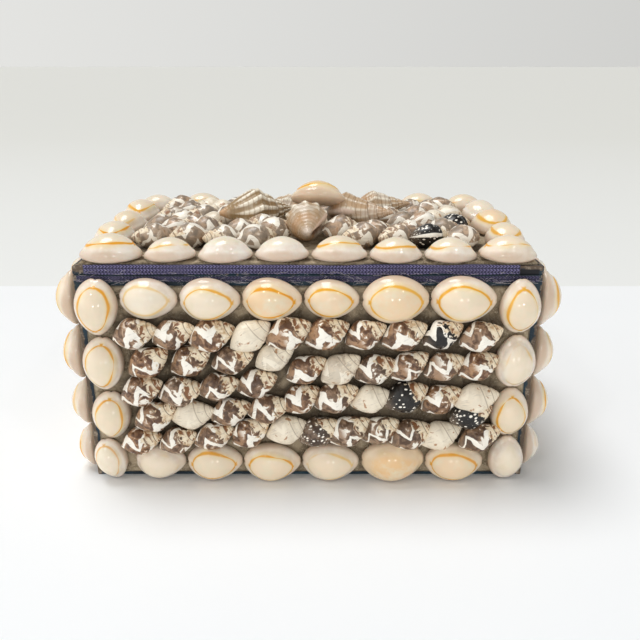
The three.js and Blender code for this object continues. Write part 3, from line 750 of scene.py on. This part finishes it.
lid_rest += cowrie_run((lid_end, lid_row), (-lid_end, lid_row), lid_back_sizes, (180,))
cowrie_piece("lid_border_shells", "lid", lid_rest, HIDDEN_LOOKS, "lid_cowrie_border")


# Dove shells fill the panels in slanting courses, back up, spires to the upper right, touching each other.
# They are small spindle-shaped snails, brown with a bold white zigzag, with a cream spire. A few are pale,
# two or three are black with white dots, and one is black with white flames.
DOVE_LENGTH = 17.2
DOVE_WIDTH = 0.7
DOVE_FLATTEN = 0.9
DOVE_SWELL = 1.09
DOVE_TURN, DOVE_TURN_SPREAD = 24.0, 22.0
# The suture starts and closes up at these shares of the length, and each whorl is this share of the last
SUTURE_START, SUTURE_END, WHORL_SHRINK = 0.55, 1.03, 0.66
DOVE_RISE_SPREAD, DOVE_LENGTH_SPREAD = 0.11, 0.12
PLAIN_PITCH, PLAIN_RISE = 1.02, 0.74
# The painted shade round the shells is full this far from a shell, and gone this much farther, in millimetres
SHADE_FULL, SHADE_FADE = 0.7, 2.0
# Each course: its first and last point as shares of the panel, and its pitch as a share of a shell's length
FRONT_COURSES = (
    ((0.04, 0.89), (0.96, 0.89), 0.885),
    ((0.07, 0.68), (0.41, 0.71), 1.0),
    ((0.495, 0.63), (0.96, 0.64), 0.8),
    ((0.045, 0.45), (0.36, 0.5), 0.905),
    ((0.48, 0.4), (0.96, 0.4), 0.83),
    ((0.075, 0.25), (0.39, 0.31), 0.915),
    ((0.53, 0.14), (0.87, 0.1), 0.73),
    ((0.95, 0.26), (0.98, 0.07), 0.67),
    ((0.03, 0.04), (0.44, 0.13), 0.895),
)


def dove_courses(courses, panel_width, panel_height, first):
    """The shells of some courses: each is its u, v, turn in degrees and length, a little apart from its
    neighbours by chance."""
    places, index = [], first
    for start, end, pitch in courses:
        low = (np.array(start) - 0.5) * (panel_width, panel_height)
        run = (np.array(end) - 0.5) * (panel_width, panel_height) - low
        steps = max(1, round(np.hypot(*run) / (pitch * DOVE_LENGTH)))
        for i in range(steps + 1):
            index += 1
            u, v = low + run * i / steps
            v += DOVE_RISE_SPREAD * (chance(index, 1) - 0.5) * DOVE_LENGTH
            turn = DOVE_TURN + DOVE_TURN_SPREAD * (chance(index, 2) - 0.5)
            places.append((u, v, turn, DOVE_LENGTH * (1 + DOVE_LENGTH_SPREAD * (chance(index, 3) - 0.5))))
    return places


def plain_courses(panel_width, panel_height, spread=1.0):
    """Straight courses across a panel, each second one half a pitch in, and closer for a small spread."""
    foot, end = 0.39 * DOVE_LENGTH / panel_height, 0.54 * DOVE_LENGTH / panel_width
    gaps = int(panel_height * (1 - 2 * foot) / (spread * PLAIN_RISE * DOVE_LENGTH))
    step = (1 - 2 * end) / int(panel_width * (1 - 2 * end) / (spread * PLAIN_PITCH * DOVE_LENGTH))
    courses = []
    for i in range(gaps + 1):
        inset, rise = end + (step / 2 if i % 2 else 0), foot + i * (1 - 2 * foot) / gaps
        courses.append(((inset, rise), (1 - inset, rise), step * panel_width / DOVE_LENGTH))
    return courses


def whorl_phase(s, turn, shoulder=SUTURE_START, shrink=WHORL_SHRINK):
    """Which whorl a place of a spire is on: the sutures are where this is a whole number, from 0 at the
    shoulder. Each whorl is a fixed share as long as the one below it, and the suture climbs one per turn."""
    left = np.clip((SUTURE_END - s) / (SUTURE_END - shoulder), 1e-3, None)
    return np.log(left) / math.log(shrink) - turn


def dove_grid(length, kind, rows, columns):
    """A dove shell along X, spire towards +X. The body is a blunt swelling from the canal to the shoulder and
    the spire a round cone, each a power curve. A groove follows the suture, each whorl bulges a little
    between two turns of it, and a thin lip runs along the lower side."""
    turn = np.linspace(0, 1, columns, endpoint=False)[None, :]
    s = (1 - np.cos(np.linspace(0.045, 0.985, rows) * np.pi))[:, None] / 2
    shoulder = 0.47 + 0.05 * (chance(kind, 21) - 0.5)
    before = np.clip((shoulder - s) / (shoulder + 0.02), 0, 1)
    after = np.clip((s - shoulder) / (1 - shoulder), 0, 1)
    spire = (1 - 0.84 * after**1.4) * (1 - after**14) ** 0.5
    radius = np.where(s < shoulder, (1 - before**1.6) ** 0.86, spire)
    whorl = whorl_phase(s, turn)
    past = whorl - np.floor(whorl)
    on_spire = 1 / (1 + np.exp(-30 * (whorl + 0.03)))
    groove = 0.075 * np.exp(-((np.minimum(past, 1 - past) / 0.1) ** 2))
    radius = radius * (1 + on_spire * (0.05 * np.sin(np.pi * past) - groove))
    lip = 0.05 * np.exp(-(((turn - 0.535) / 0.02) ** 2)) * np.exp(-(((s - 0.36) / 0.3) ** 4))
    radius = radius * (1 + lip) * length * DOVE_WIDTH / 2 * 0.98
    hump = 0.02 * length * np.sin(np.pi * np.clip(s * 1.25, 0, 1)) * (1 - on_spire)
    x = (s - 0.5) * length
    y = radius * np.cos(2 * np.pi * turn) + hump * np.clip(np.cos(2 * np.pi * turn), 0, 1)
    z = radius * np.sin(2 * np.pi * turn) * DOVE_FLATTEN
    return np.stack(np.broadcast_arrays(x, y, z), -1)


# Dove shell: half-gloss, chestnut with bold white zigzags on the body, and a chalky cream spire
dove, dove_shader = material_of("dove_shell", IOR=1.5)
wrap = node(dove, "UVMap")[0]
round_about, along, _ = node(dove, "SeparateXYZ", {0: wrap})
look = node(dove, "Attribute", attribute_name="look")
seed_share, dark, pale_share = node(dove, "SeparateColor", {0: look["Color"]})
dotted = look["Alpha"]
seed = times(seed_share, 50.0)
where = node(dove, "TexCoord")["Object"]


def seeded_noise(scale, detail=2.0, distortion=0.0):
    """Noise of the dove shells' material, in cycles per metre, which differs from shell to shell."""
    return noise(where, scale, detail, seed, Distortion=distortion)


stray = sums("SUBTRACT", seeded_noise(170.0), 0.5)
zigzag = sums("PINGPONG", sums("MULTIPLY_ADD", along, 2.7, seed), 0.5)
centre = sums("MULTIPLY_ADD", zigzag, 1.25, sums("MULTIPLY_ADD", stray, 0.75, seed))
across_band = sums("FRACT", sums("MULTIPLY_ADD", round_about, 3.0, centre))
off_band = sums("ABSOLUTE", sums("SUBTRACT", across_band, 0.5))
band_width = ramp(seeded_noise(110.0, 0.0), 0.35, 0.65, 0.08, 0.19)
band = opposite(smooth(sums("SUBTRACT", off_band, band_width), -0.015, 0.025))
patches = seeded_noise(300.0, 2.0, 0.8)
shoulder_white = times(smooth(patches, 0.56, 0.6), smooth(along, 0.36, 0.5))
zigzags = sums("MAXIMUM", band, shoulder_white)
whorl = sums("SUBTRACT", SUTURE_END, along)
whorl = sums("LOGARITHM", sums("DIVIDE", whorl, SUTURE_END - SUTURE_START), WHORL_SHRINK)
whorl = sums("SUBTRACT", whorl, round_about)
past = sums("FRACT", whorl)
on_spire = smooth(whorl, -0.05, 0.02)
suture = opposite(smooth(sums("PINGPONG", past, 0.5), 0.03, 0.1))
brown = blend(dark, blend(seed_share, "B58A64", "A88C74"), "15110E")
deep = blend(dark, blend(seed_share, "62402A", "5E4735"), "0E0B0A")
brown = blend(smooth(patches, 0.4, 0.6), deep, brown)
canal_end = opposite(smooth(along, 0.1, 0.34))
brown = blend(times(canal_end, 0.5), brown, "988471")
white = "FCF6EA"
cells = node(dove, "Mapping", {"Vector": wrap, "Scale": (30, 16, 1)})[0]
spots = {"Vector": cells, "W": seed, "Scale": 1.0, "Randomness": 0.7}
dots = node(dove, "TexVoronoi", spots, voronoi_dimensions="4D")["Distance"]
dot_mask = opposite(smooth(dots, 0.36, 0.44))
pattern = node(dove, "Mix", {0: dotted, 2: zigzags, 3: dot_mask})[0]
shell = blend(pattern, brown, white)
fleck = seeded_noise(520.0, 3.0)
cream = blend(smooth(fleck, 0.45, 0.7), "F2E3C8", "CFAE84")
spire_patch = times(smooth(patches, 0.53, 0.58), opposite(smooth(past, 0.5, 0.8)))
cream = blend(spire_patch, cream, "8A5C3A")
cream = blend(times(suture, 0.7), cream, "644A33")
# The body's markings run on over the spire's first turn in an uneven edge
ragged = sums("MULTIPLY_ADD", sums("SUBTRACT", patches, 0.5), 2.4, whorl)
shell = blend(smooth(ragged, 0.02, 0.12), shell, cream)
pale_tone = blend(smooth(patches, 0.62, 0.68), "F4E8D2", "B88D66")
pale_tone = blend(times(times(suture, on_spire), 0.5), pale_tone, "7A5C42")
shell = blend(pale_share, shell, pale_tone)
growth = noise(node(dove, "Mapping", {"Vector": wrap, "Scale": (60, 5, 1)})[0], 1.0, 3.0)
shell = blend(times(smooth(growth, 0.56, 0.72), 0.3), shell, "5C4838")
lip_line = sums("ABSOLUTE", sums("SUBTRACT", round_about, 0.53))
lip_white = opposite(smooth(lip_line, 0.02, 0.03))
lip_white = times(lip_white, opposite(smooth(along, 0.6, 0.7)))
shell = blend(lip_white, shell, white)
plug(dove_shader, "Base Color", shell)
dove_gloss = ramp(fleck, 0.35, 0.7, 0.22, 0.48)
dove_gloss = sums("MULTIPLY_ADD", on_spire, 0.15, dove_gloss)
plug(dove_shader, "Roughness", dove_gloss)
relief(dove_shader, growth, 0.3, 0.12)

# Which shells of the front, counted along its courses, differ from the common brown one
FRONT_PALE = {4: 0.95, 14: 0.8, 16: 0.7, 27: 0.95, 30: 0.9, 32: 0.9, 39: 0.95, 46: 0.9}
FRONT_DOTTED = {28: 1.0, 40: 1.0, 35: 0.55}
FRONT_FLAMED = {9: 1.0}


def dove_piece(
    name, face, places, looks, replaced, rows=40, columns=32, sunk=0.9, swell=DOVE_SWELL, tumble=50
):
    """One piece of a face's dove shells, sunk in its bed, enlarged, and each rolled by chance: half of tumble
    degrees either way."""
    grids = []
    for index, (u, v, turn, length) in enumerate(places):
        kind = index + 31 * len(places)
        roll, pitch = tumble * (chance(kind, 23) - 0.5), 8 * (chance(kind, 24) - 0.5)
        shell_grid = dove_grid(swell * length, kind, rows, columns)
        grids.append(laid(shell_grid, face, u, v, turn, BED - sunk, roll, pitch))
    finish_piece(name, skin_mesh(name, grids, looks), dove, "dove", replaced)
    shade_round_shells(face, places)


def shade_round_shells(face, places):
    """Paints shade on the bed round a face's shells: 1 near a shell's oval outline, then falling to 0."""
    mesh = bpy.data.meshes[face + "_putty"]
    points = np.empty(3 * len(mesh.vertices), "f")
    mesh.vertices.foreach_get("co", points)
    middle, right, up, _, _ = FACES[face]
    flat = (points.reshape(-1, 3) / MM - np.asarray(middle)) @ np.stack([right, up], 1)
    u, v, turn, length = np.array(places).T
    offset = flat[:, None] - np.stack([u, v], -1)[None]
    cos, sin = np.cos(np.radians(turn)), np.sin(np.radians(turn))
    along, aside = offset[..., 0] * cos + offset[..., 1] * sin, offset[..., 1] * cos - offset[..., 0] * sin
    reach = np.hypot(along / (length / 2), aside / (length * DOVE_WIDTH / 2))
    gap = ((reach - 1) * length * 0.4).min(1)
    contact_shade = np.clip(1 - (gap - SHADE_FULL) / SHADE_FADE, 0, 1)
    layer = mesh.attributes.new("contact_shade", "FLOAT", "POINT")
    layer.data.foreach_set("value", contact_shade.astype("f"))


def dove_looks(count, first, pale=(), dotted=(), flamed=(), faded=0.0):
    """Each shell's seed, darkness, paleness and dots. The common ones are as pale as faded, and first keeps
    the chances of one face apart from another's."""
    pale, dotted, flamed = dict(pale), dict(dotted), dict(flamed)
    looks = []
    for index in range(1, count + 1):
        dark = 0.3 * chance(index + first, 26) ** 2
        dark = max(dark, dotted.get(index, 0), flamed.get(index, 0))
        paleness = pale.get(index, 0 if index in dotted else faded)
        looks.append((chance(index + first, 25), dark, paleness, float(index in dotted)))
    return looks


# The front's courses fill their panel to its edges, and stand a little high in it
FRONT_STRETCH, FRONT_LIFT = 1.03, 0.5
front_panel = (WIDTH - 4 * COWRIE_INSET, HEIGHT - 4 * COWRIE_INSET)
front_doves = dove_courses(FRONT_COURSES, *front_panel, 0)
front_doves = [(u, FRONT_STRETCH * v + FRONT_LIFT, turn, length) for u, v, turn, length in front_doves]
front_looks = dove_looks(len(front_doves), 0, FRONT_PALE, FRONT_DOTTED, FRONT_FLAMED)
dove_piece("front_dove_shells", "front", front_doves, front_looks, "front_dove_panel")
# Those of the ends and the back are coarser, and lie deeper in the putty
HIDDEN_SHELLS = {"rows": 30, "columns": 24, "sunk": 1.85, "swell": 1.11}
for order, face in enumerate(("back", "left", "right")):
    panel = (FACES[face][3] - 4 * COWRIE_INSET, FACES[face][4] - 4 * COWRIE_INSET)
    doves = dove_courses(plain_courses(*panel), *panel, 100 * (order + 1))
    scattered = {index: 0.9 for index in range(1, len(doves)) if chance(index, 27 + order) < 0.18}
    looks = dove_looks(len(doves), 50 * order, scattered)
    dove_piece(face + "_dove_shells", face, doves, looks, face + "_dove_panel", **HIDDEN_SHELLS)


# Five ribbed whelks lie in a rosette in the middle of the lid, with one more cowrie across their backs.
# They are the largest shells of the box, stuck down on their sides, each turned its own way.
WHELK_LENGTH = 32.0
WHELK_RIBS = 11
WHELK_CORDS = 24
# Each: middle right of and behind the middle of the lid and length, as shares of the usual length; the turn
# of its spire, its width as a share of its length, its roll and how its spire tips; the place of its
# shoulder, the depth of its ribs and cords, the step of its whorls and where its ribs begin; its hue, from
# olive to orange
WHELKS = {
    "whelk_left": ((-0.76, 0.03, 1.13), (23, 0.52, 20, -2), (0.5, 0.15, 0.01, 0.1, 0.08), 0.05),
    "whelk_front": ((-0.03, -0.625, 0.875), (91, 0.66, -56, 12), (0.5, 0.1, 0.012, 0.1, 0.32), 0.55),
    "whelk_right": ((0.7, -0.08, 1), (-19, 0.6, -50, 4), (0.33, 0.05, 0.012, 0.03, 0.15), 0.7),
    "whelk_back_right": ((1.06, 0.69, 0.94), (2, 0.5, 60, 4), (0.42, 0.06, 0.016, 0.08, 0.1), 0.6),
    "whelk_back_left": ((-0.375, 0.655, 0.94), (152, 0.52, 10, 5), (0.45, 0.07, 0.014, 0.09, 0.1), 0.75),
}
TOP_COWRIE = {"right": 0.113, "back": -0.19, "above": 0.39, "turn": -4, "size": 0.78, "roll": -24}


def whelk_grid(length, width, shoulder, rib, cord, step, ribs_from):
    """A whelk along X, spire towards +X, mouth down. Its radius is a power curve from the drawn-out canal to
    the shoulder and a straight cone to the tip. Whorls step out between the turns of the suture, ribs cross
    them, slanting and knobbed at the shoulder, and fade towards the canal, cords follow them, and a lip
    stands beside the hollow of the mouth. Returns the points and a paint of ribs, suture, mouth and lip."""
    turn = np.linspace(0, 1, 110, endpoint=False)[None, :]
    s = (1 - np.cos(np.linspace(0.03, 0.99, 120) * np.pi))[:, None] / 2
    before, after = np.clip((shoulder - s) / shoulder, 0, 1), np.clip((s - shoulder) / (1 - shoulder), 0, 1)
    radius = np.where(s < shoulder, 0.1 + 0.9 * (1 - before**1.55) ** 1.15, 1 - 0.95 * after**0.93)
    whorl = whorl_phase(s, turn, shoulder + 0.04, 0.68)
    past = whorl - np.floor(whorl)
    on_spire = 1 / (1 + np.exp(-30 * (whorl + 0.02)))
    suture = np.exp(-((np.minimum(past, 1 - past) / 0.09) ** 2))
    body = np.clip((s - ribs_from) / 0.22, 0, 1)
    slant = 0.7 * np.clip(s / shoulder, 0, 1) ** 2 + 0.3 * np.floor(np.maximum(whorl, 0))
    ridge = (0.5 + 0.5 * np.cos(2 * np.pi * (WHELK_RIBS * turn + slant))) ** 1.3
    knob = 0.7 + 0.5 * np.exp(-(((s - shoulder) / 0.1) ** 2))
    raised = on_spire * (step * np.sin(np.pi * past**1.3) - 0.7 * step * suture) + rib * ridge * body * knob
    raised = raised + cord * np.cos(2 * np.pi * WHELK_CORDS * s) * body
    mouth = np.exp(-(((turn - 0.72) / 0.085) ** 2) - ((s - 0.27) / 0.2) ** 4)
    lip = np.exp(-(((turn - 0.6) / 0.03) ** 2) - ((s - 0.27) / 0.24) ** 4)
    radius = radius * (1 + raised - 0.55 * mouth + 0.1 * lip) * width * length / 2 * 0.95
    bend = 0.03 * length * np.clip(1 - s / 0.3, 0, 1) ** 2
    x = (s - 0.5) * length
    y = radius * np.cos(2 * np.pi * turn) - bend
    z = radius * np.sin(2 * np.pi * turn)
    paint = np.stack(np.broadcast_arrays(ridge * body * min(1, 12 * rib), suture * on_spire, mouth, lip), -1)
    return np.stack(np.broadcast_arrays(x, y, z), -1), paint


# Whelk shell: chalky and half matt, tan between pale ribs, browner towards the tip, with a smooth pale canal
whelk, whelk_shader = material_of("whelk_shell", IOR=1.5)
along_whelk = node(whelk, "SeparateXYZ", {0: node(whelk, "UVMap")[0]})["Y"]
paint = node(whelk, "Attribute", attribute_name="paint")
on_rib, in_suture, mouth_shade = node(whelk, "SeparateColor", {0: paint["Color"]})
look = node(whelk, "Attribute", attribute_name="look")
hue, ribs_start, shoulder_at = node(whelk, "SeparateColor", {0: look["Color"]})
seed = times(look["Alpha"], 30.0)
where = node(whelk, "TexCoord")["Object"]
cloud = noise(where, 130.0, 5.0, seed)
speck = noise(where, 600.0, 3.0, seed)
cord_wave = sums("COSINE", times(along_whelk, WHELK_CORDS * 2 * math.pi))
groove_tone = blend(hue, "9A805B", "D0B293")
clouded = times(smooth(cloud, 0.46, 0.64), 0.65)
groove_tone = blend(clouded, groove_tone, blend(hue, "D9CBB4", "DAD6CF"))
crest = sums("MULTIPLY_ADD", sums("SUBTRACT", cloud, 0.5), 0.5, on_rib)
crest = smooth(crest, 0.2, 0.8)
tone = blend(crest, groove_tone, "F4EBD8")
tone = blend(times(smooth(cord_wave, 0.4, 1.0), 0.42), tone, "94714C")
past_shoulder = sums("SUBTRACT", along_whelk, shoulder_at)
tip_brown = times(smooth(past_shoulder, 0.12, 0.5), hue)
tone = blend(times(tip_brown, 0.6), tone, "BD8A5A")
canal_pale = opposite(smooth(along_whelk, 0.08, 0.24))
tone = blend(canal_pale, tone, blend(hue, "C79A6C", "DDDDD8"))
off_band = sums("ABSOLUTE", sums("SUBTRACT", along_whelk, 0.3))
band_brown = opposite(smooth(off_band, 0.02, 0.07))
tone = blend(times(times(band_brown, hue), 0.8), tone, "C39468")
tone = blend(times(smooth(in_suture, 0.3, 0.9), 0.6), tone, "7A5A3C")
# Painted shade: the hollow of the mouth is painted dark brown
tone = blend(times(smooth(mouth_shade, 0.25, 0.7), 0.85), tone, "6A452B")
lip_tone = blend(hue, "CBA077", "EAD6C9")
tone = blend(smooth(paint["Alpha"], 0.2, 0.7), tone, lip_tone)
tone = blend(times(smooth(speck, 0.58, 0.7), 0.4), tone, "F2EBDD")
plug(whelk_shader, "Base Color", tone)
whelk_gloss = ramp(cloud, 0.3, 0.7, 0.26, 0.5)
whelk_gloss = sums("MULTIPLY_ADD", ribs_start, -0.3, whelk_gloss)
plug(whelk_shader, "Roughness", whelk_gloss)
whelk_height = sums("MULTIPLY_ADD", speck, 0.8, cord_wave)
relief(whelk_shader, whelk_height, 0.3, 0.15)

feet = []
for part, ((right, back, size), (turn, width, roll, pitch), form, hue_share) in WHELKS.items():
    u, v, length = right * WHELK_LENGTH, back * WHELK_LENGTH, size * WHELK_LENGTH
    grid, paint = whelk_grid(length, width, *form)
    grid = laid(grid, "lid", u, v, turn, BED - 0.4, roll, pitch)
    whelk_look = (hue_share, form[4], form[0], chance(turn, 31))
    whelk_mesh = skin_mesh(part + "_shell", [grid], [whelk_look], paints=[paint])
    finish_piece(part + "_shell", whelk_mesh, whelk, "whelk", part)
    feet.append((u, v, math.radians(turn), length / 2, length * width / 2))
top_place = (TOP_COWRIE["right"] * WHELK_LENGTH, TOP_COWRIE["back"] * WHELK_LENGTH)
top_place += (TOP_COWRIE["turn"], TOP_COWRIE["size"] * WHELK_LENGTH)
top_above, top_roll = TOP_COWRIE["above"] * WHELK_LENGTH, TOP_COWRIE["roll"]
TOP_LOOK = (1.0, 0.6, 0.9)
cowrie_piece("top_cowrie_shell", "lid", [top_place], [TOP_LOOK], "top_cowrie", top_above, top_roll)


# The lid's own dove shells are painted like the front's, half of them with their spire the other way. They
# lie closer and more tumbled, deeper in the putty, wherever no whelk stands, and two are black and dotted.
CLEAR_OF_WHELK = 0.12 * DOVE_LENGTH
LID_FIRST = 400
LID_CLOSER = 0.78
DOTTED_ON_LID = ((47, -26), (62, -6))


def under_whelk(u, v):
    """Whether a point of the lid is inside the oval that some whelk needs."""
    for foot_u, foot_v, angle, half_length, half_width in feet:
        along = (u - foot_u) * math.cos(angle) + (v - foot_v) * math.sin(angle)
        aside = (v - foot_v) * math.cos(angle) - (u - foot_u) * math.sin(angle)
        if math.hypot(along / (half_length + CLEAR_OF_WHELK), aside / (half_width + CLEAR_OF_WHELK)) < 1:
            return True
    return False


lid_panel = (WIDTH - 4 * COWRIE_INSET, DEPTH - 4 * COWRIE_INSET)
lid_doves = []
for u, v, turn, length in dove_courses(plain_courses(*lid_panel, LID_CLOSER), *lid_panel, LID_FIRST):
    if not under_whelk(u, v):
        half_turn = 180 if chance(len(lid_doves), 5) < 0.5 else 0
        lid_doves.append((u, v, turn + half_turn, length))
lid_spots = np.array(lid_doves)[:, :2]
lid_dotted = {1 + int(np.hypot(*(lid_spots - spot).T).argmin()): 1.0 for spot in DOTTED_ON_LID}
lid_pale = {index: 0.85 for index in range(1, len(lid_doves)) if chance(index, 33) < 0.13}
lid_looks = dove_looks(len(lid_doves), 200, lid_pale, lid_dotted, faded=0.2)
dove_piece("lid_dove_shells", "lid", lid_doves, lid_looks, "lid_dove_panel", sunk=1.3, swell=1.05, tumble=130)
